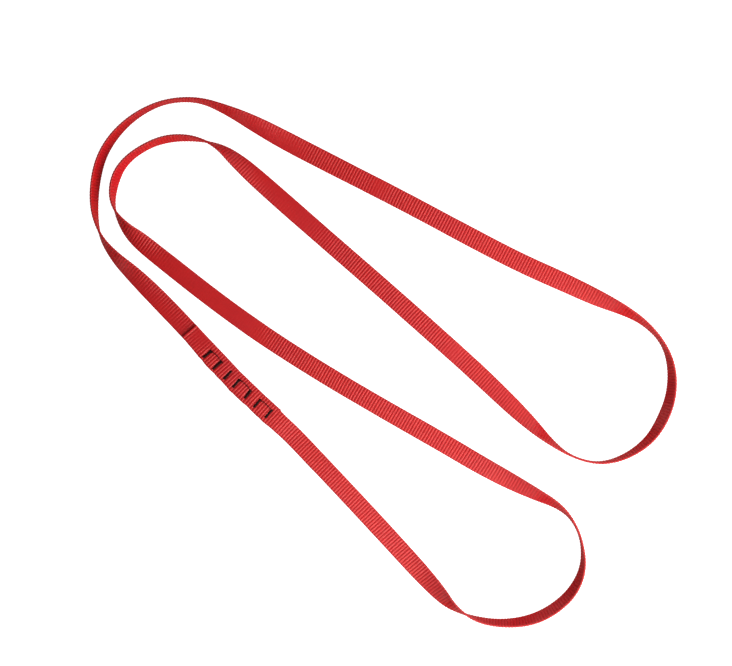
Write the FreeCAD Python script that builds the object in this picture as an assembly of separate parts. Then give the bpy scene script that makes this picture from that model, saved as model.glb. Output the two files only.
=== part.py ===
import FreeCAD, Part
import math
import os

# A sewn sling, or runner: one long strip of flat nylon webbing whose two ends are lapped
# and held by a row of bar tacks. It lies on the plane z = 0 as a doubled band bent into a U.
# Millimetres, +Z up. The origin is on that plane, under the middle of the outline.

# Driving dimensions
WEB_WIDTH = 16.0
WEB_THICKNESS = 2.1
TACK_WIDTH = 2.3
TACK_HEIGHT = 0.7
TACK_EDGE_ROUND = 0.4
JUMP_THREAD_RADIUS = 0.3
JUMP_THREAD_END = 0.9        # how far in from a tack's end its jump thread starts
JUMP_THREAD_CLEARANCE = 0.1  # between a jump thread's end and the tack's side
FOLD_GAP = 0.3               # the slit between two webbing runs on either side of a fold
SLIT_REACH = 400.0           # a slitting slab's length and height, past every run's edges

# How the route's corners are rounded and how finely the strip's sections follow it
ARC_SHARE = 0.45             # an arc's tangent length, as a share of the shorter run beside it
TURN_STEP = 9.0              # degrees of turn between two sections
ROLL_STEP = 12.0             # degrees of roll between two sections

# The strip's route, from the cut end under the lap to the cut end on top of it.
# Each point is x, y, roll, lift. Roll turns the strip about its own line: 0 lies flat,
# 90 stands on its left edge, 180 lies flat on its other face. Lift raises it off the plane.
LAP = WEB_THICKNESS
ROUTE = [
    # under the lap
    (-92, -47, 0, 0), (-118, -24, 0, 0), (-146.5, 6.5, 0, 0), (-170, 32, 0, 0),
    # left outer bight
    (-193, 56, 8, 0), (-211.5, 74.5, 31, 0), (-227.5, 89.5, 58, 0), (-240, 107, 80, 0),
    (-245, 130, 104, 0), (-243.5, 156, 109, 0), (-237, 178, 107, 0), (-223, 197.5, 102, 0),
    (-204, 212.5, 95, 0), (-182, 221.5, 91, 0), (-156, 222.5, 95, 0), (-131, 213, 113, 0),
    (-108, 201.5, 141, 0),
    # top run
    (-80, 186.5, 170, 0), (-34, 163, 180, 0), (18, 136.5, 180, 0), (71, 108, 180, 0),
    (115, 85, 180, 0),
    # upper right bight
    (154, 67.5, 167, 0), (182, 54, 145, 0), (205, 43.5, 115, 0), (222, 33, 99, 0), (237, 17, 91, 0),
    (244.5, -3, 102, 0), (244.5, -27, 110, 0), (237, -48.5, 116, 0), (225, -67, 107, 0),
    (204.5, -81, 97, 0), (182, -86.5, 88, 0), (159, -80, 88, 0), (141, -67, 108, 0),
    (125, -52, 137, 0), (106, -34, 159, 0),
    # upper middle run
    (80, -9, 175, 0), (41, 26, 180, 0), (-3, 65, 180, 0), (-48, 104, 180, 0), (-80, 132, 175, 0),
    # left inner bight
    (-105, 154, 166, 0), (-124, 171, 142, 0), (-139, 183, 108, 0), (-158, 189.5, 82, 0),
    (-180, 190, 75, 0), (-200, 183.5, 80, 0), (-219, 170, 78, 0), (-228, 153, 71, 0),
    (-229.5, 132, 88, 0), (-219, 114, 121, 0), (-203, 100, 166, 0),
    # lower middle run
    (-178, 80, 175, 0), (-145, 54, 180, 0), (-103, 23.5, 180, 0), (-53, -8.5, 180, 0),
    (-2, -38.5, 180, 0), (50, -68, 180, 0), (82, -87, 169, 0),
    # lower right bight
    (107, -100.5, 153, 0), (128.5, -111.5, 131, 0), (148, -121, 108, 0), (160.5, -133, 90, 0),
    (168.5, -151, 86, 0), (170, -174, 98, 0), (161, -194.5, 110, 0), (144.5, -209.5, 113, 0),
    (124.5, -219, 112, 0), (100, -221.5, 103, 0), (77, -217.5, 96, 0), (58.5, -207.5, 65, 0),
    (46, -194, 32, 0),
    # bottom run
    (24, -170, 8, 0), (-4.5, -139, 0, 0), (-39, -102, 0, 0), (-60, -80, 0, 0), (-77, -62, 0, 0),
    # on top of the lap
    (-89, -51, 0, LAP), (-107, -34, 0, LAP), (-124, -18, 0, LAP), (-140.5, -0.5, 0, LAP),
    (-153.5, 13.5, 0, LAP), (-164.5, 26.5, 0, LAP),
]

# The strip's nodes: each one's name and the number of the last route point that it holds.
# Two nodes meet half way along the run between their points.
STRETCHES = [
    ("splice_lower_layer", 3),
    ("left_outer_bight", 16),
    ("top_run", 21),
    ("upper_right_bight", 36),
    ("upper_middle_run", 41),
    ("left_inner_bight", 52),
    ("lower_middle_run", 59),
    ("lower_right_bight", 72),
    ("bottom_run", 77),
    ("splice_upper_layer", len(ROUTE) - 1),
]

# Each fold line crosses two flat runs and lies in their top faces. Its arm points away
# from the lap, in degrees from +X, and the runs that it crosses are slit along it.
FOLDS = {
    "upper_arm": {"centre": (6.0, 104.0), "arm": -34.0, "runs": ("top_run", "upper_middle_run")},
    "lower_arm": {"centre": (-24.5, -66.0), "arm": -39.5, "runs": ("lower_middle_run", "bottom_run")},
}

# Bar tacks, from the upper cut end: x, y, angle from +X in degrees, and length
TACKS = [
    (-149.0, 6.8, 40.0, 9.6),
    (-140.6, -2.5, 42.0, 10.8),
    (-131.8, -11.0, 46.0, 10.0),
    (-124.5, -18.1, 49.0, 9.4),
    (-114.8, -27.3, 52.0, 9.5),
    (-106.7, -34.9, 49.0, 9.4),
    (-97.0, -43.8, 49.0, 9.4),
]
JUMPS = [(0, 1), (3, 4), (5, 6)]   # tacks that one thread joins, counted from 0


def height(roll, lift):
    """Height of the strip's middle where its lowest edge is lift above the plane."""
    angle = math.radians(roll)
    standing = WEB_WIDTH / 2 * abs(math.sin(angle))
    lying = WEB_THICKNESS / 2 * abs(math.cos(angle))
    return standing + lying + lift


def between(a, b, share):
    """The values part of the way from a to b."""
    return tuple(p + (q - p) * share for p, q in zip(a, b))


def corner_arc(before, corner, after):
    """The tangent arc at one corner: its start, end, radius and turn to the left in radians."""
    run_in = math.dist(before[:2], corner[:2])
    run_out = math.dist(corner[:2], after[:2])
    heading_in = math.atan2(corner[1] - before[1], corner[0] - before[0])
    heading_out = math.atan2(after[1] - corner[1], after[0] - corner[0])
    turn = (heading_out - heading_in + math.pi) % (2 * math.pi) - math.pi
    tangent = ARC_SHARE * min(run_in, run_out)
    radius = tangent / math.tan(abs(turn) / 2)
    start = between(corner, before, tangent / run_in)
    end = between(corner, after, tangent / run_out)
    return start, end, radius, turn, heading_in


def arc_stations(before, corner, after):
    """Stations along a corner's arc: x, y, roll, lift and heading."""
    start, end, radius, turn, heading_in = corner_arc(before, corner, after)
    roll_change = abs(end[2] - corner[2]) + abs(corner[2] - start[2])
    by_turn = abs(math.degrees(turn)) / TURN_STEP
    by_roll = roll_change / ROLL_STEP
    half_steps = max(1, math.ceil(max(by_turn, by_roll) / 2))
    side = math.copysign(1.0, turn)
    centre_x = start[0] - side * radius * math.sin(heading_in)
    centre_y = start[1] + side * radius * math.cos(heading_in)
    stations = []
    for step in range(2 * half_steps + 1):
        share = step / (2 * half_steps)
        heading = heading_in + turn * share
        x = centre_x + side * radius * math.sin(heading)
        y = centre_y - side * radius * math.cos(heading)
        if share <= 0.5:
            roll, lift = between(start[2:], corner[2:], 2 * share)
        else:
            roll, lift = between(corner[2:], end[2:], 2 * share - 1)
        stations.append((x, y, roll, lift, heading))
    return stations


def heading_of(a, b):
    """Direction from a to b."""
    return math.atan2(b[1] - a[1], b[0] - a[0])


def section(station):
    """The strip's closed rectangular outline at one station."""
    x, y, roll, lift, heading = station
    angle = math.radians(roll)
    right = FreeCAD.Vector(math.sin(heading), -math.cos(heading), 0)
    up = FreeCAD.Vector(0, 0, 1)
    across = right * math.cos(angle) + up * math.sin(angle)
    face = up * math.cos(angle) - right * math.sin(angle)
    middle = FreeCAD.Vector(x, y, height(roll, lift))
    side = across * (WEB_WIDTH / 2)
    top = face * (WEB_THICKNESS / 2)
    corners = [middle + side + top, middle - side + top, middle - side - top, middle + side - top]
    return Part.makePolygon(corners + corners[:1])


def stretch_stations(first, last):
    """Stations of one node, from half way before its first route point to half way after its last."""
    stations = []
    if first == 0:
        stations.append(ROUTE[0] + (heading_of(ROUTE[0], ROUTE[1]),))
    else:
        entry = between(ROUTE[first - 1], ROUTE[first], 0.5)
        stations.append(entry + (heading_of(ROUTE[first - 1], ROUTE[first]),))
    for number in range(max(first, 1), min(last, len(ROUTE) - 2) + 1):
        stations += arc_stations(ROUTE[number - 1], ROUTE[number], ROUTE[number + 1])
    if last == len(ROUTE) - 1:
        stations.append(ROUTE[last] + (heading_of(ROUTE[last - 1], ROUTE[last]),))
    else:
        leaving = between(ROUTE[last], ROUTE[last + 1], 0.5)
        stations.append(leaving + (heading_of(ROUTE[last], ROUTE[last + 1]),))
    return stations


def webbing(stations):
    """A closed solid of webbing through the stations, and its middle line's length."""
    solid = Part.makeLoft([section(station) for station in stations], True, True)
    middles = [(s[0], s[1], height(s[2], s[3])) for s in stations]
    length = sum(math.dist(a, b) for a, b in zip(middles, middles[1:]))
    return solid, length


def slit(solid, fold):
    """The two parts of a run on either side of a fold line: the near one, then the arm's."""
    corner = FreeCAD.Vector(-FOLD_GAP / 2, -SLIT_REACH / 2, -SLIT_REACH / 2)
    slab = Part.makeBox(FOLD_GAP, SLIT_REACH, SLIT_REACH, corner)
    slab.rotate(FreeCAD.Vector(0, 0, 0), FreeCAD.Vector(0, 0, 1), fold["arm"])
    slab.translate(FreeCAD.Vector(*fold["centre"], 0))
    arm = math.radians(fold["arm"])
    parts = solid.cut(slab).Solids
    parts.sort(key=lambda s: s.CenterOfMass.x * math.cos(arm) + s.CenterOfMass.y * math.sin(arm))
    return parts


def bar_tack(x, y, angle, length):
    """A bar of dense zigzag stitching on the lap's top face, as one rounded block."""
    block = Part.makeBox(length, TACK_WIDTH, TACK_HEIGHT, FreeCAD.Vector(-length / 2, -TACK_WIDTH / 2, 0))
    upper_edges = [e for e in block.Edges if e.BoundBox.ZMin > TACK_HEIGHT / 2]
    block = block.makeFillet(TACK_EDGE_ROUND, upper_edges)
    block.rotate(FreeCAD.Vector(0, 0, 0), FreeCAD.Vector(0, 0, 1), angle)
    block.translate(FreeCAD.Vector(x, y, 2 * WEB_THICKNESS))
    return block


def tack_upper_end(tack):
    """The point near a tack's far end where its jump thread leaves its side."""
    x, y, angle, length = tack
    reach = length / 2 - JUMP_THREAD_END
    return x + reach * math.cos(math.radians(angle)), y + reach * math.sin(math.radians(angle))


def jump_thread(first, second):
    """The loose thread that runs from one tack's side to the next one's."""
    start = FreeCAD.Vector(*tack_upper_end(first), 0)
    end = FreeCAD.Vector(*tack_upper_end(second), 0)
    line = (end - start).normalize()
    inset = TACK_WIDTH / 2 + JUMP_THREAD_CLEARANCE
    length = (end - start).Length - 2 * inset
    base = start + line * inset + FreeCAD.Vector(0, 0, 2 * WEB_THICKNESS + JUMP_THREAD_RADIUS)
    return Part.makeCylinder(JUMP_THREAD_RADIUS, length, base, line)


def build():
    """Every node's shape by name, with the webbing's total length."""
    nodes = {}
    total = 0.0
    first = 0
    for name, last in STRETCHES:
        solid, length = webbing(stretch_stations(first, last))
        expected = length * WEB_WIDTH * WEB_THICKNESS
        print(f"{name}: {length:.1f} mm, volume / (section x length) = {solid.Volume / expected:.4f}")
        nodes[name] = solid
        total += length
        first = last + 1
    for fold in FOLDS.values():
        for run in fold["runs"]:
            near, far = slit(nodes.pop(run), fold)
            nodes[run + "_left"] = near
            nodes[run + "_right"] = far
    for number, tack in enumerate(TACKS, start=1):
        nodes[f"bar_tack_{number}"] = bar_tack(*tack)
    threads = [jump_thread(TACKS[a], TACKS[b]) for a, b in JUMPS]
    nodes["tack_jump_threads"] = Part.makeCompound(threads)
    return nodes, total


def print_radii():
    """The arc radius at each corner of the route."""
    radii = []
    for before, corner, after in zip(ROUTE, ROUTE[1:], ROUTE[2:]):
        radii.append(corner_arc(before, corner, after)[2])
    print("arc radii, mm:", " ".join(f"{radius:.0f}" for radius in radii))
    print(f"tightest arc {min(radii):.1f} mm")


def main():
    os.makedirs("parts", exist_ok=True)
    nodes, total = build()
    print_radii()
    print(f"webbing strip {total:.0f} mm long")
    for name, shape in nodes.items():
        if not shape.isValid():
            raise ValueError(f"{name} isn't a valid shape")
        shape.exportStep(f"parts/{name}.step")
    whole = Part.makeCompound(list(nodes.values()))
    box = whole.BoundBox
    print(f"{len(nodes)} nodes, x {box.XMin:.1f} {box.XMax:.1f}, y {box.YMin:.1f} {box.YMax:.1f},"
          f" z {box.ZMin:.2f} {box.ZMax:.2f}")


main()
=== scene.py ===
import math

import bpy
import numpy as np
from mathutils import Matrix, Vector


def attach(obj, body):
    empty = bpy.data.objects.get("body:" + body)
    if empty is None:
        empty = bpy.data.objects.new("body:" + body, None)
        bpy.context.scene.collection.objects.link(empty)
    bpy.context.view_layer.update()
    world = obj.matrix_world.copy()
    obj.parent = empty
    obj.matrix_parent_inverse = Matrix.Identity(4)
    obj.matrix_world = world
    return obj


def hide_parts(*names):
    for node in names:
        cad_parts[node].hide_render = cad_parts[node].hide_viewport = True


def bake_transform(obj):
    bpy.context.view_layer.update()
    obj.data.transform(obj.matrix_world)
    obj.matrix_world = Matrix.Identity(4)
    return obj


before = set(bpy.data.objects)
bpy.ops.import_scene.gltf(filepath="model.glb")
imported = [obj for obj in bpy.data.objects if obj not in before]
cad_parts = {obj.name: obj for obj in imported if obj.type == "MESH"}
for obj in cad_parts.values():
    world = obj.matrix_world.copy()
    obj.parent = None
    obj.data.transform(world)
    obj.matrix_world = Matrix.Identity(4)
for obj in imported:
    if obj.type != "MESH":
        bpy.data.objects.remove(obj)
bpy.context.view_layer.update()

# A sewn sling: one strip of flat ribbed nylon webbing, lapped and bar-tacked into a loop.
# Metres, in the CAD frame. The strip is built rib by rib along one spline.

# Webbing
WEB_WIDTH = 0.016
WEB_THICKNESS = 0.0021
WEB_FULLNESS = 1.015          # the widest part of a selvedge, over the nominal width
RIB_PITCH = 0.00257
RIB_RELIEF = 0.00040          # from a groove's floor up to a rib's crest
SELVEDGE_RELIEF = 0.00016     # how far the edge pulls in at a groove
SELVEDGE_ROUND = 0.0009       # how far in from the edge the rounding starts
YARN_PITCH = 0.00052          # between two warp yarns
RIB_STATIONS = 6              # sections built for each rib
FACE_STEPS = 20               # across each face
EDGE_STEPS = 6                # round each selvedge
CUT_END_ROUND = 0.0006
CUT_CURL = 0.0005             # how far the upper cut end curls up off the lap
CUT_CURL_LENGTH = 0.006
WIDTH_WANDER = 0.008          # how far the width wanders, as a share of it
RIB_SKEW = 0.00030            # how far along the strip a rib leans at its ends
RIB_BOW = 0.00022             # and how far it bows at its middle
RIB_STRAIGHT_LENGTH = 0.01    # how far from a piece's ends its ribs are straighter

# Bar tacks
THREAD_RADIUS = 0.00017
STITCH_PITCH = 0.00034        # between two crossings of a tack's zigzag
TACK_WIDTH = 0.0026
TACK_DIMPLE = 0.00040         # how far a tack sinks into the webbing
TACK_CROWN = 0.00030          # how far its middle stands above that
TACK_REACH = 0.0019           # how far to each side it draws the webbing in
TACK_END_SOFTNESS = 0.0006    # how softly that stops at its ends
STITCH_DIVE = 0.00024         # how far below a tack's surface a stitch goes at its ends
STITCH_RISE = 0.00010         # how far above it the stitch lies near its ends
STITCH_CREST = 0.00016        # and at its middle
# How unevenly the stitches reach out sideways, as waves along the tack: size, turn from one
# crossing to the next and turn from one tack to the next, in radians
STITCH_WAVES = [(0.00010, 2.4, 1.3), (0.00006, 5.1, 0.0), (0.00016, 0.21, 2.1)]
# The threads that run along a tack below its zigzag: place across it and above its surface
UNDER_THREADS = [(-0.00055, 0.00006), (0.0, 0.00018), (0.00055, 0.00006)]
UNDER_THREAD_INSET = 0.0005   # how far in from the tack's ends they stop
TACK_TIP_INSET = 0.0009       # how far in from a tack's end the loose threads start
LOOSE_THREAD_ROOT = 0.0002    # and how far below the lap's surface
JUMP_SLACK = 0.0009           # how far, on average, a jump thread bows out between two tacks
JUMP_RADIUS = THREAD_RADIUS * 1.7
TAIL_RADIUS = THREAD_RADIUS * 1.3

# The strip's route, from the cut end under the lap to the cut end on top of it.
# Each point is x, y, roll in degrees and lift. Roll turns the strip about its own line:
# 0 lies flat, 90 stands on its left edge, 180 lies flat on its other face.
LAP = WEB_THICKNESS
ROUTE = [
    # under the lap
    (-0.092, -0.047, 0, 0), (-0.118, -0.024, 0, 0), (-0.1465, 0.0065, 0, 0), (-0.170, 0.032, 0, 0),
    # left outer bight
    (-0.193, 0.056, 8, 0), (-0.2115, 0.0745, 31, 0), (-0.2275, 0.0895, 58, 0),
    (-0.240, 0.107, 80, 0), (-0.245, 0.130, 104, 0), (-0.2435, 0.156, 109, 0),
    (-0.237, 0.178, 107, 0), (-0.223, 0.1975, 102, 0), (-0.204, 0.2125, 95, 0),
    (-0.182, 0.2215, 91, 0), (-0.156, 0.2225, 95, 0), (-0.131, 0.213, 113, 0),
    (-0.108, 0.2015, 141, 0),
    # top run
    (-0.080, 0.1865, 170, 0), (-0.034, 0.163, 180, 0), (0.018, 0.1365, 180, 0),
    (0.071, 0.108, 180, 0), (0.115, 0.085, 180, 0),
    # upper right bight
    (0.154, 0.0675, 167, 0), (0.182, 0.054, 145, 0), (0.205, 0.0435, 115, 0), (0.222, 0.033, 99, 0),
    (0.237, 0.017, 91, 0), (0.2445, -0.003, 102, 0), (0.2445, -0.027, 110, 0),
    (0.237, -0.0485, 116, 0), (0.225, -0.067, 107, 0), (0.2045, -0.081, 97, 0),
    (0.182, -0.0865, 88, 0), (0.159, -0.080, 88, 0), (0.141, -0.067, 108, 0),
    (0.125, -0.052, 137, 0), (0.106, -0.034, 159, 0),
    # upper middle run
    (0.080, -0.009, 175, 0), (0.041, 0.026, 180, 0), (-0.003, 0.065, 180, 0),
    (-0.048, 0.104, 180, 0), (-0.080, 0.132, 175, 0),
    # left inner bight
    (-0.105, 0.154, 166, 0), (-0.124, 0.171, 142, 0), (-0.139, 0.183, 108, 0),
    (-0.158, 0.1895, 82, 0), (-0.180, 0.190, 75, 0), (-0.200, 0.1835, 80, 0),
    (-0.219, 0.170, 78, 0), (-0.228, 0.153, 71, 0), (-0.2295, 0.132, 88, 0),
    (-0.219, 0.114, 121, 0), (-0.203, 0.100, 166, 0),
    # lower middle run
    (-0.178, 0.080, 175, 0), (-0.145, 0.054, 180, 0), (-0.103, 0.0235, 180, 0),
    (-0.053, -0.0085, 180, 0), (-0.002, -0.0385, 180, 0), (0.050, -0.068, 180, 0),
    (0.082, -0.087, 169, 0),
    # lower right bight
    (0.107, -0.1005, 153, 0), (0.1285, -0.1115, 131, 0), (0.148, -0.121, 108, 0),
    (0.1605, -0.133, 90, 0), (0.1685, -0.151, 86, 0), (0.170, -0.174, 98, 0),
    (0.161, -0.1945, 110, 0), (0.1445, -0.2095, 113, 0), (0.1245, -0.219, 112, 0),
    (0.100, -0.2215, 103, 0), (0.077, -0.2175, 96, 0), (0.0585, -0.2075, 65, 0),
    (0.046, -0.194, 32, 0),
    # bottom run
    (0.024, -0.170, 8, 0), (-0.0045, -0.139, 0, 0), (-0.039, -0.102, 0, 0), (-0.060, -0.080, 0, 0),
    (-0.077, -0.062, 0, 0),
    # on top of the lap
    (-0.089, -0.051, 0, LAP), (-0.107, -0.034, 0, LAP), (-0.124, -0.018, 0, LAP),
    (-0.1405, -0.0005, 0, LAP), (-0.1535, 0.0135, 0, LAP), (-0.1645, 0.0265, 0, LAP),
]
SPLINE_STEPS = 64             # the spline's points between two of the route's

# Bar tacks, from the upper cut end: x, y, angle from +X in degrees, and length
TACKS = [
    (-0.1490, 0.0068, 40.0, 0.0096),
    (-0.1406, -0.0025, 42.0, 0.0108),
    (-0.1318, -0.0110, 46.0, 0.0100),
    (-0.1245, -0.0181, 49.0, 0.0094),
    (-0.1148, -0.0273, 52.0, 0.0095),
    (-0.1067, -0.0349, 49.0, 0.0094),
    (-0.0970, -0.0438, 49.0, 0.0094),
]
JUMPS = [(0, 1), (3, 4), (5, 6)]   # tacks that one thread joins, counted from 0
# Loose ends of thread: the tack, then places along it, across it and up from its upper end
TAILS = [
    (0, [(0.0008, 0.0004, 0.0003), (0.0009, 0.0014, 0.0005), (-0.0003, 0.0018, 0.0005),
         (-0.0011, 0.0012, 0.0005), (-0.0015, 0.0003, 0.0004)]),
    (1, [(0.0004, 0.0008, 0.0003), (0.0001, 0.0018, 0.0003), (-0.0004, 0.0027, 0.0002)]),
    (3, [(0.0009, 0.0005, 0.0003), (0.0008, 0.0016, 0.0003), (0.0003, 0.0026, 0.0002)]),
    (5, [(0.0006, 0.0007, 0.0003), (0.0002, 0.0017, 0.0003), (-0.0002, 0.0025, 0.0002)]),
]

# The webbing's pieces: name, the route point after which each ends, the bodies named for it
# (a piece with one is attached to it; one with two is left unattached), and the CAD nodes
# that it stands for. Seams lie in grooves on the flat runs.
ROOT = "splice_and_left_bights"
STRIP_PIECES = [
    ("webbing_left_outer", 17, (ROOT,), ["splice_lower_layer", "left_outer_bight"]),
    ("webbing_upper_arm", 40, (ROOT, "upper_arm"),
     ["top_run_left", "top_run_right", "upper_right_bight", "upper_middle_run_right",
      "upper_middle_run_left"]),
    ("webbing_left_inner", 54, (ROOT,), ["left_inner_bight"]),
    ("webbing_lower_arm", 77, (ROOT, "lower_arm"),
     ["lower_middle_run_left", "lower_middle_run_right", "lower_right_bight",
      "bottom_run_right", "bottom_run_left"]),
    ("webbing_splice_upper", None, (ROOT,), ["splice_upper_layer"]),
]

# How strongly the ribs stand out along the strip: route place, share of the full relief, and
# how much more of it there is towards one edge. Where the webbing was bent tight and then laid
# out again it is pulled smooth.
# The same share sets how dark the painted shade in the grooves is.
RIB_STRENGTH = [
    # from the lower cut end round the left outer bight
    (0, 0.90, 0.0), (2.2, 0.80, 0.0), (2.8, 0.35, 0.35), (5, 0.50, 0.50), (8, 0.80, 0.2),
    (14, 0.80, 0.0), (15.2, 0.35, 0.45), (15.8, 0.05, 0.60), (16.9, 0.0, 0.55),
    # top run, upper right bight and upper middle run
    (17.1, 0.15, 0.50), (17.4, 0.72, 0.0), (18.4, 0.80, 0.0), (18.57, 0.20, 0.0),
    (18.8, 0.95, 0.0), (20.5, 1.0, 0.0), (22, 0.80, 0.0), (24, 0.85, 0.0), (26, 1.0, 0.0),
    (37.3, 1.0, 0.0), (37.5, 0.25, 0.0), (37.75, 1.0, 0.0), (39.7, 0.95, 0.0),
    # left inner bight
    (40.1, 0.60, 0.10), (40.5, 0.08, 0.05), (41.2, 0.05, 0.10), (41.6, 0.15, 0.50),
    (42.2, 0.40, 0.60), (42.7, 0.85, 0.40), (43.5, 0.95, 0.0), (51.4, 1.0, 0.20),
    (52, 1.0, 0.50), (52.4, 0.50, 0.60), (52.8, 0.02, 0.05), (54.86, 0.02, 0.0),
    # lower middle run, lower right bight and bottom run
    (55, 0.40, 0.40), (55.3, 0.88, 0.0), (58.5, 0.85, 0.0), (61, 0.90, 0.0), (72, 0.95, 0.0),
    (75, 0.68, 0.0), (77, 0.80, 0.0),
    # on top of the lap
    (81.7, 0.80, 0.0), (82.05, 0.35, -0.35), (82.36, 0.30, -0.30), (82.42, 0.90, 0.0),
    (82.5, 0.90, 0.0),
]
# How much the lapped webbing is spread by its stitching: route place and share of the width
LAP_SPREAD = [
    (0, 0.0), (0.5, 0.02), (1, 0.055), (2, 0.045), (2.6, 0.0), (77.6, 0.0), (78.2, 0.055),
    (79, 0.095), (80, 0.090), (81.2, 0.080), (81.9, 0.050), (82.3, 0.0), (82.5, -0.010),
]
LAP_UNEVEN = 0.0002           # how far its edges wave in and out between the tacks

# Camera
CAMERA_PLACE = (-0.01446, 0.02466, 1.490)
CAMERA_LENS = 86.16
CAMERA_SENSOR = 36.0

# Floor and surroundings
FLOOR_RADIUS = 12.0
FLOOR_SIDES = 64
FLOOR_DEPTH = 0.00015         # how far below the frame's ground plane it lies
FLOOR_BOUNCE = 0.32           # light that the floor gives off
FLOOR_GLOW = 0.72             # and what is added to it in the camera's view of the floor
WORLD_TOWARDS = (0.90, -0.42, 0.10)        # the side from which more light comes
WORLD_RANGE = (-0.4, 0.9)     # dot products with that way, where they are darkest and brightest
WORLD_DARK = (0.26, 0.19, 0.215, 1.0)
WORLD_BRIGHT = (0.42, 0.32, 0.34, 1.0)
WORLD_SEEN = (1.0, 1.0, 1.0, 1.0)

# Each light: name, azimuth, elevation, distance, size, power, and whether it lights the
# colours as well as the gloss. The gloss lights are weak, and are near the right bights.
LIGHT_COLOUR = (0.92, 1.08, 1.05)
LIGHTS = [
    ("key", -48.0, 26.0, 0.90, 0.80, 9.3, True),
    ("front", -84.0, 32.0, 0.60, 0.30, 0.2, True),
    ("side", -30.0, 56.0, 0.72, 0.40, 2.5, True),
    ("back", 30.0, 26.0, 0.62, 0.30, 1.6, True),
    ("front_gloss", -92.5, 43.0, 0.45, 0.20, 1.3, False),
    ("back_gloss", 25.5, 52.5, 0.44, 0.20, 0.5, False),
]


# ---------------------------------------------------------------- camera

def make_camera():
    """A camera above the sling, which looks straight down."""
    data = bpy.data.cameras.new("camera")
    data.sensor_fit = "HORIZONTAL"
    data.sensor_width = CAMERA_SENSOR
    data.lens = CAMERA_LENS
    data.clip_start = 0.05
    data.clip_end = 50.0
    camera = bpy.data.objects.new("camera", data)
    camera.location = CAMERA_PLACE
    bpy.context.scene.collection.objects.link(camera)
    bpy.context.scene.camera = camera


# ---------------------------------------------------------------- the strip's line

def spline_line(points):
    """Points along one NURBS spline that has these control points."""
    curve = bpy.data.curves.new("route", "CURVE")
    curve.dimensions = "3D"
    spline = curve.splines.new("NURBS")
    spline.points.add(len(points) - 1)
    for target, point in zip(spline.points, points):
        target.co = (*point, 1.0)
    spline.order_u = 3
    spline.use_endpoint_u = True
    spline.resolution_u = SPLINE_STEPS
    holder = bpy.data.objects.new("route", curve)
    mesh = bpy.data.meshes.new_from_object(holder)
    line = np.array([tuple(vertex.co) for vertex in mesh.vertices])
    bpy.data.meshes.remove(mesh)
    bpy.data.objects.remove(holder)
    bpy.data.curves.remove(curve)
    return line


def height(roll, lift):
    """Height of the strip's middle where its lowest edge is lift above the floor."""
    standing = WEB_WIDTH / 2 * np.abs(np.sin(roll))
    lying = WEB_THICKNESS / 2 * np.abs(np.cos(roll))
    return standing + lying + lift


def wander(s, length, phase):
    """A slow, smooth, uneven wave between about -1 and 1 along the strip."""
    turns = 2 * np.pi * s / length
    slow = np.sin(turns + phase)
    middle = 0.6 * np.sin(2.3 * turns + 1.7 * phase)
    quick = 0.35 * np.sin(4.1 * turns + 2.9 * phase)
    return (slow + middle + quick) / 1.6


class Strip:
    """The strip's line, read from the route's spline, with its roll, lift and heading."""

    def __init__(self):
        plan = spline_line([(x, y, float(height(math.radians(roll), lift)))
                            for x, y, roll, lift in ROUTE])
        turning = spline_line([(math.radians(roll), lift, 0.0) for _, _, roll, lift in ROUTE])
        self.roll = turning[:, 0]
        self.lift = turning[:, 1]
        self.line = plan.copy()
        self.line[:, 2] = height(self.roll, self.lift)
        steps = np.linalg.norm(np.diff(self.line, axis=0), axis=1)
        self.along = np.concatenate([[0.0], np.cumsum(steps)])
        self.length = float(self.along[-1])
        self.heading = np.unwrap(np.arctan2(np.gradient(plan[:, 1]), np.gradient(plan[:, 0])))
        self.ribs = round(self.length / RIB_PITCH)
        self.pitch = self.length / self.ribs

    def place_of(self, number):
        """How far along a route point is. A half means midway to the next point."""
        share = min(max((number - 0.5) / (len(ROUTE) - 2), 0.0), 1.0)
        return float(self.along[round(share * (len(self.along) - 1))])

    def along_route(self, s, table, column=1):
        """One column of a table of route places, at each distance along."""
        places = [self.place_of(row[0]) for row in table]
        return np.interp(s, places, [row[column] for row in table])

    def at(self, s):
        """Middle point, direction across and face direction at each distance along."""
        x, y = (np.interp(s, self.along, self.line[:, k]) for k in (0, 1))
        roll, lift, heading = (np.interp(s, self.along, values)
                               for values in (self.roll, self.lift, self.heading))
        middle = np.stack([x, y, height(roll, lift)], axis=1)
        nought = np.zeros_like(s)
        right = np.stack([np.sin(heading), -np.cos(heading), nought], axis=1)
        up = np.stack([nought, nought, nought + 1.0], axis=1)
        cosine, sine = np.cos(roll)[:, None], np.sin(roll)[:, None]
        return middle, right * cosine + up * sine, up * cosine - right * sine


# ---------------------------------------------------------------- mesh tools

def new_mesh_object(name, points, faces, uv=None, sharp=None):
    """A smooth-shaded mesh object. uv holds one pair for each face corner."""
    mesh = bpy.data.meshes.new(name)
    mesh.from_pydata([tuple(p) for p in points], [], [tuple(f) for f in faces])
    if uv is not None:
        layer = mesh.uv_layers.new(name="weave")
        layer.data.foreach_set("uv", np.asarray(uv, np.float32).ravel())
    mesh.shade_smooth()
    if sharp is not None:
        flags = np.zeros(len(mesh.edges), bool)
        ends = np.zeros(len(mesh.edges) * 2, np.int32)
        mesh.edges.foreach_get("vertices", ends)
        ends = ends.reshape(-1, 2)
        for ring in sharp:
            flags |= np.isin(ends, ring).all(axis=1)
        mesh.attributes.new("sharp_edge", "BOOLEAN", "EDGE").data.foreach_set("value", flags)
    mesh.validate()
    obj = bpy.data.objects.new(name, mesh)
    bpy.context.scene.collection.objects.link(obj)
    return obj


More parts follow.
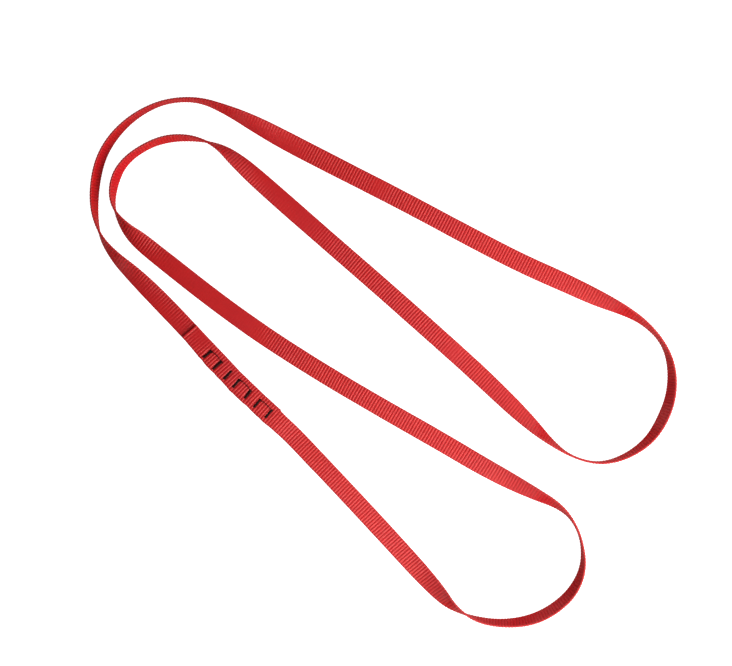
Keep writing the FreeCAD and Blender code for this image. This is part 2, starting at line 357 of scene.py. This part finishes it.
def ring_shape():
    """One section of webbing: position across, from -1 to 1, and side, from -1 to 1."""
    flat = WEB_WIDTH / 2 - SELVEDGE_ROUND
    face = np.linspace(-flat, flat, FACE_STEPS + 1)
    turn = np.linspace(0, np.pi, EDGE_STEPS + 1)[1:-1]
    across = [face, flat + SELVEDGE_ROUND * np.sin(turn), face[::-1],
              -flat - SELVEDGE_ROUND * np.sin(turn)]
    side = [np.ones_like(face), np.cos(turn), -np.ones_like(face), -np.cos(turn)]
    return np.concatenate(across), np.concatenate(side)


def tack_pull(points):
    """How strongly the tacks pull the webbing in at each point, from 0 to 1."""
    pull = np.zeros(len(points))
    for x, y, angle, length in TACKS:
        c, s = math.cos(math.radians(angle)), math.sin(math.radians(angle))
        dx, dy = points[:, 0] - x, points[:, 1] - y
        along = dx * c + dy * s
        beside = dy * c - dx * s
        inside = 1 / (1 + np.exp((np.abs(along) - length / 2) / TACK_END_SOFTNESS))
        pull = np.maximum(pull, np.exp(-(beside / TACK_REACH) ** 2) * inside)
    return pull


# ---------------------------------------------------------------- webbing

def cut_taper(place, cut_start, cut_end):
    """The share of its thickness that the strip keeps near its cut ends."""
    scale = np.ones(len(place))
    ends = []
    if cut_start:
        ends.append(place - place[0])
    if cut_end:
        ends.append(place[-1] - place)
    for distance in ends:
        inside = np.clip(distance / CUT_END_ROUND, 0, 1)
        scale = np.minimum(scale, 0.55 + 0.45 * np.sqrt(1 - (1 - inside) ** 2))
    return scale[:, None]


def rib_shift(place, ring_across, towards_edge):
    """How far each point lies along the strip from its place on a straight rib."""
    skew = RIB_SKEW * wander(place, 0.23, 1.1) / (WEB_WIDTH / 2)
    bow = RIB_BOW * wander(place, 0.41, 2.6)
    shift = skew[:, None] * ring_across + bow[:, None] * (1 - towards_edge ** 2)
    from_ends = np.minimum(place - place[0], place[-1] - place)
    return shift * np.clip(from_ends / RIB_STRAIGHT_LENGTH, 0, 1)[:, None]


def strip_surface(strip, stations, cut_start, cut_end):
    """The strip's middle and its points, section by section.

    With them go how far each point's rib stands out, and how near an edge each point is.
    """
    place = stations * strip.pitch
    crest = np.abs(np.sin(np.pi * stations))[:, None]
    middle, across, face = strip.at(place)
    ring_across, ring_side = ring_shape()
    half_width = WEB_WIDTH / 2
    sideways = ring_across / half_width
    towards_edge = np.abs(sideways)

    depth = strip.along_route(place, RIB_STRENGTH)[:, None]
    depth = np.clip(depth + strip.along_route(place, RIB_STRENGTH, 2)[:, None] * sideways, 0, 1)
    sunk = RIB_RELIEF * depth * (1 - crest) * (1 - 0.35 * towards_edge ** 6)
    thick = WEB_THICKNESS / 2 - sunk
    pulled_in = SELVEDGE_RELIEF * depth * (1 - crest) * towards_edge ** 8
    wide = WEB_FULLNESS + WIDTH_WANDER * wander(place, 0.17, 2.0)[:, None] - pulled_in / half_width
    spread = strip.along_route(place, LAP_SPREAD)[:, None]
    uneven = LAP_UNEVEN * wander(place, 0.031, 0.7)[:, None] * np.clip(spread / 0.05, 0, 1)
    wide = wide + (spread + uneven / half_width * (1 - 0.6 * sideways)) * towards_edge ** 2

    scale = cut_taper(place, cut_start, cut_end)
    points = (middle[:, None, :]
              + across[:, None, :] * (ring_across * wide)[:, :, None]
              + face[:, None, :] * (ring_side * thick * scale)[:, :, None])
    tangent = np.cross(face, across)
    shift = rib_shift(place, ring_across, towards_edge)
    points = points + tangent[:, None, :] * shift[:, :, None]
    if cut_end:
        last = np.clip(1 - (place[-1] - place) / CUT_CURL_LENGTH, 0, 1)
        points[:, :, 2] += (CUT_CURL * last ** 2)[:, None]
    points = points.reshape(-1, 3)
    pull = tack_pull(points) * TACK_DIMPLE
    points[:, 2] -= pull * np.tile(ring_side, len(place))
    return middle, points, depth, towards_edge


def side_faces(rings, count):
    """The quads between one section of count points and the next."""
    ring = np.arange(count)
    start = (np.arange(rings - 1) * count)[:, None]
    after = (ring + 1) % count
    quads = np.stack([start + ring, start + after, start + count + after, start + count + ring],
                     axis=2).reshape(-1, 4)
    return [tuple(quad) for quad in quads]


def side_uv(stations, round_it):
    """The quads' corners: ribs counted along the strip, and yarns counted round it."""
    count = len(round_it) - 1
    rings = len(stations)
    low = np.repeat(stations[:-1], count)
    high = np.repeat(stations[1:], count)
    here = np.tile(round_it[:-1], rings - 1)
    there = np.tile(round_it[1:], rings - 1)
    return np.stack([np.stack([low, here], 1), np.stack([low, there], 1),
                     np.stack([high, there], 1), np.stack([high, here], 1)], axis=1).reshape(-1, 2)


def strip_piece(strip, name, first_rib, last_rib, cut_start, cut_end):
    """The mesh of one stretch of webbing, from groove to groove."""
    stations = np.arange(first_rib * RIB_STATIONS, last_rib * RIB_STATIONS + 1) / RIB_STATIONS
    middle, points, depth, towards_edge = strip_surface(strip, stations, cut_start, cut_end)
    rings = len(stations)
    ring_across, ring_side = ring_shape()
    count = len(ring_across)
    steps = np.hypot(np.diff(ring_across, append=ring_across[:1]),
                     np.diff(ring_side, append=ring_side[:1]) * WEB_THICKNESS / 2)
    round_it = np.concatenate([[0.0], np.cumsum(steps)]) / YARN_PITCH

    faces = side_faces(rings, count)
    cap_uv = []
    last_ring = (rings - 1) * count
    for base, u in ((0, stations[0]), (last_ring, stations[-1])):
        quads = end_cap(count) + base
        if base == 0:
            quads = [quad[::-1] for quad in quads]
        faces += [tuple(quad) for quad in quads]
        cap_uv += [(u, float(round_it[corner - base])) for quad in quads for corner in quad]
    uv = np.concatenate([side_uv(stations, round_it), np.array(cap_uv)])
    sharp = [np.arange(count), np.arange(count) + last_ring]
    obj = new_mesh_object(name, points, faces, uv, sharp)
    # The selvedge mask sets where painted shade darkens the colour along the edges; rib_depth also
    # sets the painted shade in the grooves.
    painted_selvedge_shade = np.tile(towards_edge ** 14, (rings, 1))
    for attribute, values in (("rib_depth", depth), ("painted_selvedge_shade", painted_selvedge_shade)):
        shown = obj.data.attributes.new(attribute, "FLOAT", "POINT")
        shown.data.foreach_set("value", values.astype(np.float32).ravel())
    if signed_volume(obj) < 0:
        obj.data.flip_normals()
    return obj, middle


def end_cap(count):
    """Quads that close one ring, each joining the two faces."""
    half = count // 2
    start = EDGE_STEPS // 2
    order = np.roll(np.arange(count), start)
    quads = []
    for k in range(half - 1):
        a, b = order[k], order[k + 1]
        c, d = order[count - 2 - k], order[count - 1 - k]
        quads.append((a, b, c, d))
    return np.array(quads)


def signed_volume(obj):
    """The closed mesh's volume, negative where its faces point inwards."""
    mesh = obj.data
    mesh.calc_loop_triangles()
    points = np.zeros(len(mesh.vertices) * 3)
    mesh.vertices.foreach_get("co", points)
    corners = np.zeros(len(mesh.loop_triangles) * 3, np.int32)
    mesh.loop_triangles.foreach_get("vertices", corners)
    a, b, c = points.reshape(-1, 3)[corners.reshape(-1, 3)].transpose(1, 0, 2)
    return float(np.einsum("ij,ij->i", a, np.cross(b, c)).sum() / 6)


def make_webbing(strip, material):
    """All of the strip's pieces, each a stretch of the one strip."""
    made = {}
    first = 0
    for name, last_point, bodies, nodes in STRIP_PIECES:
        last = strip.ribs
        if last_point is not None:
            last = round(strip.place_of(last_point + 0.5) / strip.pitch)
        obj, middle = strip_piece(strip, name, first, last, first == 0, last == strip.ribs)
        obj.data.materials.append(material)
        if len(bodies) == 2:
            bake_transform(obj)
        else:
            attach(obj, bodies[0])
        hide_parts(*nodes)
        made[name] = (obj, middle)
        first = last
    return made


# ---------------------------------------------------------------- threads

def smooth_line(points, steps):
    """A Catmull-Rom line through the points."""
    points = np.asarray(points, float)
    padded = np.concatenate([[2 * points[0] - points[1]], points, [2 * points[-1] - points[-2]]])
    share = np.arange(steps)[:, None] / steps
    parts = []
    for p0, p1, p2, p3 in zip(padded, padded[1:], padded[2:], padded[3:]):
        parts.append(0.5 * (2 * p1 + (p2 - p0) * share
                            + (2 * p0 - 5 * p1 + 4 * p2 - p3) * share ** 2
                            + (3 * p1 - p0 - 3 * p2 + p3) * share ** 3))
    return np.concatenate(parts + [points[-1:]])


def tube(line, radius, sides=8):
    """Points, faces and corner UVs of a round thread along a line, closed at its ends."""
    line = np.asarray(line, float)
    tangent = np.gradient(line, axis=0)
    tangent /= np.linalg.norm(tangent, axis=1)[:, None]
    normal = np.cross(tangent[0], (0.31, 0.17, 0.93))
    normals = []
    for t in tangent:
        normal = normal - t * (normal @ t)
        normal = normal / np.linalg.norm(normal)
        normals.append(normal)
    normals = np.array(normals)
    other = np.cross(tangent, normals)
    angle = 2 * np.pi * np.arange(sides) / sides
    points = (line[:, None, :] + radius * (normals[:, None, :] * np.cos(angle)[:, None]
                                           + other[:, None, :] * np.sin(angle)[:, None]))
    run = np.concatenate([[0.0], np.cumsum(np.linalg.norm(np.diff(line, axis=0), axis=1))])
    faces = []
    uv = []
    for k in range(len(line) - 1):
        for j in range(sides):
            n = (j + 1) % sides
            faces.append((k * sides + j, k * sides + n, (k + 1) * sides + n, (k + 1) * sides + j))
            for place, turn in ((k, j), (k, j + 1), (k + 1, j + 1), (k + 1, j)):
                uv.append((run[place] / radius, turn / sides))
    last = (len(line) - 1) * sides
    faces.append(tuple(range(sides))[::-1])
    faces.append(tuple(last + j for j in range(sides)))
    uv += [(0.0, 0.0)] * sides + [(run[-1] / radius, 0.0)] * sides
    return points.reshape(-1, 3), faces, uv


def thread_object(name, tubes, material):
    """Several tubes as one piece."""
    points, faces, uv = [], [], []
    offset = 0
    for tube_points, tube_faces, tube_uv in tubes:
        points += [tuple(p) for p in tube_points]
        faces += [tuple(offset + corner for corner in face) for face in tube_faces]
        uv += tube_uv
        offset += len(tube_points)
    obj = new_mesh_object(name, points, faces, uv)
    obj.data.materials.append(material)
    return obj


def zigzag_line(length, number, base, sense):
    """A tack's zigzag about its middle. Its crests point up where sense is 1, down where -1."""
    crossings = int(length / STITCH_PITCH)
    crown = TACK_CROWN if sense > 0 else 0.0
    lean = STITCH_PITCH / 2
    dive = base - sense * STITCH_DIVE
    rise = base + sense * (STITCH_RISE + crown * 0.35)
    crest = base + sense * (STITCH_CREST + crown)
    line = []
    for k in range(crossings):
        along = (k + 0.5 - crossings / 2) * STITCH_PITCH
        uneven = sum(size * math.sin(turn * k + shift * number) for size, turn, shift in STITCH_WAVES)
        reach = (1.0 if k % 2 else -1.0) * (TACK_WIDTH / 2 - THREAD_RADIUS + uneven)
        line += [(along - lean * 0.9, -reach, dive), (along - lean * 0.6, -reach * 0.86, rise),
                 (along, 0.0, crest),
                 (along + lean * 0.6, reach * 0.86, rise), (along + lean * 0.9, reach, dive)]
    return line


def tack_tubes(tack, number):
    """One tack: its zigzag on top of the lap, the one under the lap, and the threads below it."""
    x, y, angle, length = tack
    c, s = math.cos(math.radians(angle)), math.sin(math.radians(angle))

    def placed(local):
        local = np.asarray(local, float)
        return np.stack([x + local[:, 0] * c - local[:, 1] * s,
                         y + local[:, 0] * s + local[:, 1] * c, local[:, 2]], axis=1)

    surface = 2 * WEB_THICKNESS - TACK_DIMPLE
    made = []
    for base, sense in ((surface, 1.0), (THREAD_RADIUS * 2.2, -1.0)):
        zigzag = zigzag_line(length, number, base, sense)
        made.append(tube(smooth_line(placed(zigzag), 3), THREAD_RADIUS))
    end = length / 2 - UNDER_THREAD_INSET
    for offset, above in UNDER_THREADS:
        under = [(-end, offset, surface + above), (0.0, offset * 1.1, surface + above),
                 (end, offset, surface + above)]
        made.append(tube(smooth_line(placed(under), 6), THREAD_RADIUS * 1.3))
    return made


def tack_tip(number):
    """The upper end of a tack, on top of the lap, and the directions along and across it."""
    x, y, angle, length = TACKS[number]
    along = np.array([math.cos(math.radians(angle)), math.sin(math.radians(angle)), 0.0])
    tip = np.array([x, y, 2 * WEB_THICKNESS]) + along * (length / 2 - TACK_TIP_INSET)
    return tip, along, np.array([along[1], -along[0], 0.0])


def jump_tube(first, second, number):
    """The slack thread that runs from one tack's upper end to the next one's."""
    (a, along, _), (b, _, _) = tack_tip(first), tack_tip(second)
    up = np.array([0, 0, 1.0])
    run = b - a
    slack = JUMP_SLACK * (1 + math.sin(2.1 * number) / 3)
    points = [a - up * LOOSE_THREAD_ROOT]
    for share, bow, rise in ((0.14, 0.5, 0.00035), (0.38, 1.0, 0.00034), (0.66, 0.85, 0.00030),
                             (0.9, 0.3, 0.00032)):
        points.append(a + run * share + along * bow * slack + up * rise)
    points.append(b - up * LOOSE_THREAD_ROOT)
    return tube(smooth_line(points, 6), JUMP_RADIUS)


def tail_tube(number, shape):
    """A short loose end at a tack's upper end. shape holds places along, across and up."""
    tip, along, across = tack_tip(number)
    up = np.array([0, 0, 1.0])
    points = [tip - up * LOOSE_THREAD_ROOT]
    points += [tip + along * a + across * b + up * c for a, b, c in shape]
    return tube(smooth_line(points, 5), TAIL_RADIUS)


def make_stitching(material):
    """Seven bar tacks, the threads between some of them, and the loose ends."""
    pieces = []
    for number, tack in enumerate(TACKS, start=1):
        obj = thread_object(f"stitched_tack_{number}", tack_tubes(tack, number), material)
        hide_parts(f"bar_tack_{number}")
        pieces.append(obj)
    tubes = [jump_tube(a, b, number) for number, (a, b) in enumerate(JUMPS)]
    tubes += [tail_tube(number, shape) for number, shape in TAILS]
    jumps = thread_object("stitched_jump_threads", tubes, material)
    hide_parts("tack_jump_threads")
    pieces.append(jumps)
    for obj in pieces:
        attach(obj, ROOT)
    return pieces


# ---------------------------------------------------------------- materials

class Graph:
    """Short calls for building a material's nodes.

    A colour Mix node's inputs 0, 6 and 7 are its share and its two colours, and output 2 is
    the mixed colour.
    """

    def __init__(self, name):
        self.material = bpy.data.materials.new(name)
        self.material.use_nodes = True
        self.tree = self.material.node_tree
        self.shader = next(n for n in self.tree.nodes if n.type == "BSDF_PRINCIPLED")

    def node(self, kind, **settings):
        made = self.tree.nodes.new(kind)
        for key, value in settings.items():
            setattr(made, key, value)
        return made

    def feed(self, socket, value):
        if isinstance(value, bpy.types.NodeSocket):
            self.tree.links.new(value, socket)
        else:
            socket.default_value = value

    def maths(self, operation, a, b=0.0, c=0.0):
        made = self.node("ShaderNodeMath", operation=operation)
        for socket, value in zip(made.inputs, (a, b, c)):
            self.feed(socket, value)
        return made.outputs[0]

    def ramp(self, value, low, high, to_low=0.0, to_high=1.0):
        made = self.node("ShaderNodeMapRange", interpolation_type="SMOOTHSTEP")
        for socket, number in zip(made.inputs, (value, low, high, to_low, to_high)):
            self.feed(socket, number)
        return made.outputs[0]

    def mix(self, share, a, b):
        made = self.node("ShaderNodeMix", data_type="RGBA")
        self.feed(made.inputs[0], share)
        self.feed(made.inputs[6], a)
        self.feed(made.inputs[7], b)
        return made.outputs[2]

    def noise(self, vector, scale, detail=2.0, roughness=0.5):
        made = self.node("ShaderNodeTexNoise")
        self.feed(made.inputs["Vector"], vector)
        self.feed(made.inputs["Scale"], scale)
        self.feed(made.inputs["Detail"], detail)
        self.feed(made.inputs["Roughness"], roughness)
        return made.outputs[0]

    def vector(self, x, y, z=0.0):
        made = self.node("ShaderNodeCombineXYZ")
        for socket, value in zip(made.inputs, (x, y, z)):
            self.feed(socket, value)
        return made.outputs[0]

    def weave_uv(self):
        place = self.node("ShaderNodeUVMap", uv_map="weave")
        parts = self.node("ShaderNodeSeparateXYZ")
        self.feed(parts.inputs[0], place.outputs[0])
        return parts.outputs[0], parts.outputs[1]

    def swing(self, value, amount):
        """A value between 0 and 1, turned into one that swings about nought by the amount."""
        return self.maths("MULTIPLY_ADD", value, amount, -amount / 2)

    def bump(self, heights, distance):
        made = self.node("ShaderNodeBump")
        self.feed(made.inputs["Strength"], 1.0)
        self.feed(made.inputs["Distance"], distance)
        self.feed(made.inputs["Height"], heights)
        return made.outputs[0]

    def set(self, name, value):
        self.feed(self.shader.inputs[name], value)


def webbing_material():
    """Red nylon: warp yarns pass over each rib, half a yarn aside from the rib before. Its colour has
    painted shade in the ribs' grooves, in the gaps between yarns and along the selvedges.
    """
    g = Graph("red_nylon_webbing")
    along, across = g.weave_uv()
    rib_phase = g.maths("FRACT", along)
    rib_number = g.maths("FLOOR", along)
    aside = g.maths("MULTIPLY", g.maths("MODULO", rib_number, 2.0), 0.5)
    yarn_phase = g.maths("FRACT", g.maths("ADD", across, aside))
    off_crest = g.maths("ABSOLUTE", g.maths("MULTIPLY_ADD", rib_phase, 2.0, -1.0))
    off_yarn = g.maths("ABSOLUTE", g.maths("MULTIPLY_ADD", yarn_phase, 2.0, -1.0))
    groove = g.ramp(off_crest, 0.62, 1.0)
    gap = g.ramp(off_yarn, 0.5, 1.0)

    where = g.node("ShaderNodeTexCoord").outputs["Object"]
    broad = g.noise(where, 28.0, 2.0)
    local = g.noise(where, 160.0, 3.0)
    filaments = g.noise(g.vector(g.maths("MULTIPLY", along, 0.9), g.maths("MULTIPLY", across, 7.0)),
                        1.0, 3.0, 0.6)
    each_float = g.noise(g.vector(rib_number, g.maths("FLOOR", g.maths("ADD", across, aside))),
                         3.1, 0.0)

    red = (0.51, 0.0040, 0.0070, 1.0)
    warm = (0.55, 0.0055, 0.0060, 1.0)
    cool = (0.47, 0.0030, 0.0090, 1.0)
    # The last of these is the dark red that the painted shade below mixes the colour towards.
    painted_shade_red = (0.23, 0.0010, 0.0025, 1.0)
    body = g.mix(g.ramp(broad, 0.35, 0.65), warm, cool)
    body = g.mix(0.5, body, red)
    # Tone that differs at random, from yarn to yarn and in patches; it is taken off the painted shade
    # below.
    tone_noise = g.swing(g.ramp(each_float, 0.3, 0.7), 0.12)
    for pattern, amount in ((filaments, 0.16), (local, 0.24), (broad, 0.36)):
        tone_noise = g.maths("ADD", tone_noise, g.swing(pattern, amount))
    # Painted shade: darker in the ribs' grooves, as far as the ribs stand out, and in the gaps
    # between yarns.
    depth = g.node("ShaderNodeAttribute", attribute_name="rib_depth").outputs["Fac"]
    painted_shade = g.maths("MULTIPLY", groove, g.maths("MULTIPLY", depth, 0.52))
    painted_shade = g.maths("MAXIMUM", painted_shade, g.maths("MULTIPLY", gap, 0.09))
    # Painted shade along the selvedges.
    painted_selvedge_shade = g.node("ShaderNodeAttribute", attribute_name="painted_selvedge_shade").outputs["Fac"]
    painted_shade = g.maths("MULTIPLY_ADD", painted_selvedge_shade, 0.25, painted_shade)
    painted_shade = g.maths("SUBTRACT", painted_shade, tone_noise)
    clamp = g.node("ShaderNodeClamp")
    g.feed(clamp.inputs[0], painted_shade)
    g.set("Base Color", g.mix(clamp.outputs[0], body, painted_shade_red))
    rough = g.maths("MULTIPLY_ADD", filaments, 0.08, 0.42)
    g.set("Roughness", g.maths("ADD", rough, g.maths("MULTIPLY", groove, 0.1)))
    g.set("IOR", 1.53)
    tilt = g.node("ShaderNodeLayerWeight").outputs["Facing"]
    g.set("Specular IOR Level", g.ramp(tilt, 0.30, 0.52, 0.58, 0.02))
    g.set("Specular Tint", (1.0, 0.46, 0.43, 1.0))
    g.set("Sheen Weight", 0.08)
    g.set("Sheen Roughness", 0.5)
    g.set("Sheen Tint", (1.0, 0.42, 0.34, 1.0))
    yarn_height = g.maths("MULTIPLY", g.maths("SUBTRACT", 1.0, gap), g.maths("SUBTRACT", 1.0, groove))
    heights = g.maths("ADD", yarn_height, g.maths("MULTIPLY", filaments, 0.45))
    g.set("Normal", g.bump(heights, 0.000035))
    return g.material


def thread_material():
    """Black polyester sewing thread, twisted, a little brown where it is fuzzy. Its colour has
    painted shade between the plies.
    """
    g = Graph("black_tack_thread")
    along, around = g.weave_uv()
    turns = g.maths("MULTIPLY_ADD", along, 0.16, g.maths("MULTIPLY", around, 2.0))
    ply = g.maths("ABSOLUTE", g.maths("MULTIPLY_ADD", g.maths("FRACT", turns), 2.0, -1.0))
    where = g.node("ShaderNodeTexCoord").outputs["Object"]
    fuzz = g.noise(where, 4200.0, 2.0)
    # Painted shade: near black between the plies, lighter on their crests.
    body = g.mix(g.ramp(ply, 0.0, 0.9), (0.0240, 0.0030, 0.0022, 1.0), (0.006, 0.0008, 0.0006, 1.0))
    g.set("Base Color", g.mix(g.ramp(fuzz, 0.4, 0.75), body, (0.045, 0.006, 0.005, 1.0)))
    g.set("Roughness", g.maths("MULTIPLY_ADD", fuzz, 0.25, 0.40))
    g.set("IOR", 1.5)
    g.set("Specular IOR Level", 0.10)
    g.set("Normal", g.bump(g.maths("SUBTRACT", 1.0, ply), 0.00005))
    return g.material


def floor_material():
    """A pale floor that looks evenly lit, but throws only a little light back up."""
    g = Graph("pale_floor")
    where = g.node("ShaderNodeTexCoord").outputs["Object"]
    g.set("Base Color", g.mix(g.noise(where, 3.0), (0.54, 0.54, 0.54, 1), (0.56, 0.56, 0.56, 1)))
    g.set("Roughness", 0.9)
    g.set("Specular IOR Level", 0.0)
    g.set("Emission Color", (1.0, 1.0, 1.0, 1.0))
    path = g.node("ShaderNodeLightPath")
    glow = g.maths("MULTIPLY_ADD", path.outputs["Is Camera Ray"], FLOOR_GLOW, FLOOR_BOUNCE)
    g.set("Emission Strength", glow)
    return g.material


# ---------------------------------------------------------------- stage and light

def make_stage():
    """The floor: one many-sided disc, far wider than the sling."""
    turns = [2 * math.pi * k / FLOOR_SIDES for k in range(FLOOR_SIDES)]
    ring = [(FLOOR_RADIUS * math.cos(turn), FLOOR_RADIUS * math.sin(turn), 0.0) for turn in turns]
    floor = new_mesh_object("floor", ring, [tuple(range(FLOOR_SIDES))])
    floor.location.z = -FLOOR_DEPTH
    floor.data.materials.append(floor_material())


def make_world():
    """Dim surroundings, brighter on one side, which the camera sees as white."""
    world = bpy.data.worlds.new("studio")
    world.use_nodes = True
    tree = world.node_tree
    sky = tree.nodes.new("ShaderNodeTexCoord")
    facing = tree.nodes.new("ShaderNodeVectorMath")
    facing.operation = "DOT_PRODUCT"
    tree.links.new(sky.outputs["Generated"], facing.inputs[0])
    facing.inputs[1].default_value = WORLD_TOWARDS
    share = tree.nodes.new("ShaderNodeMapRange")
    share.inputs[1].default_value, share.inputs[2].default_value = WORLD_RANGE
    tree.links.new(facing.outputs["Value"], share.inputs[0])
    lit = tree.nodes.new("ShaderNodeMix")
    lit.data_type = "RGBA"
    lit.inputs[6].default_value = WORLD_DARK
    lit.inputs[7].default_value = WORLD_BRIGHT
    tree.links.new(share.outputs[0], lit.inputs[0])
    path = tree.nodes.new("ShaderNodeLightPath")
    seen = tree.nodes.new("ShaderNodeMix")
    seen.data_type = "RGBA"
    tree.links.new(path.outputs["Is Camera Ray"], seen.inputs[0])
    tree.links.new(lit.outputs[2], seen.inputs[6])
    seen.inputs[7].default_value = WORLD_SEEN
    tree.links.new(seen.outputs[2], tree.nodes["Background"].inputs["Color"])
    bpy.context.scene.world = world


def make_lights():
    """Soft square lights, all facing the sling's middle."""
    target = Vector((0.0, 0.0, 0.0))
    for name, azimuth, elevation, distance, size, power, lights_colour in LIGHTS:
        data = bpy.data.lights.new(name, "AREA")
        data.size = size
        data.energy = power
        data.color = LIGHT_COLOUR
        light = bpy.data.objects.new(name, data)
        a, e = math.radians(azimuth), math.radians(elevation)
        light.location = Vector((math.cos(a) * math.cos(e), math.sin(a) * math.cos(e),
                                 math.sin(e))) * distance
        light.rotation_euler = (target - light.location).to_track_quat("-Z", "Y").to_euler()
        light.visible_diffuse = lights_colour
        bpy.context.scene.collection.objects.link(light)


# ---------------------------------------------------------------- the scene

make_camera()
strip = Strip()
webbing = make_webbing(strip, webbing_material())
stitching = make_stitching(thread_material())
make_stage()
bpy.context.scene.view_settings.view_transform = "Standard"
make_world()
make_lights()
